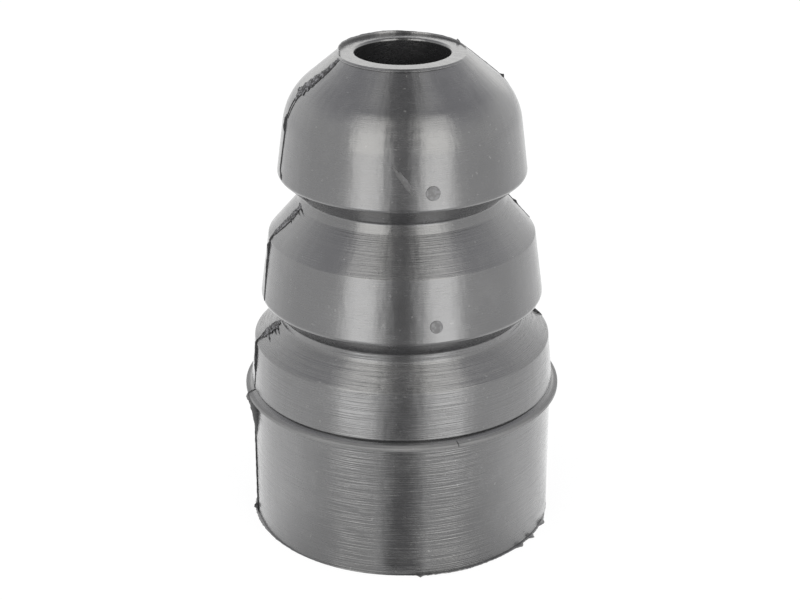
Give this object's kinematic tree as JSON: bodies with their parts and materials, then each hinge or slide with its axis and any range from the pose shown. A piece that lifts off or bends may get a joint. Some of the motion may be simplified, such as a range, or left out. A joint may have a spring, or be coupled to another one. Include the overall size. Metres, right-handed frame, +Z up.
{
  "type": "rubber buffer",
  "caption": "Moulded rubber bump stop for a suspension strut: stacked lobes, a thin flange and a plain base round a straight rod bore.",
  "frame": {"origin": "centre of the rod bore in the flat underside of the base", "axes": "+Z up along the rod bore, from the base towards the nose; -Y is the side that the picture shows"},
  "size_m": [0.0696, 0.0692, 0.1069],
  "materials": {
    "rubber": "satin, faintly turned all over, with dull flash lines"
  },
  "bodies": {
    "root": {"rubber_buffer": "rubber"}
  },
  "joints": []
}
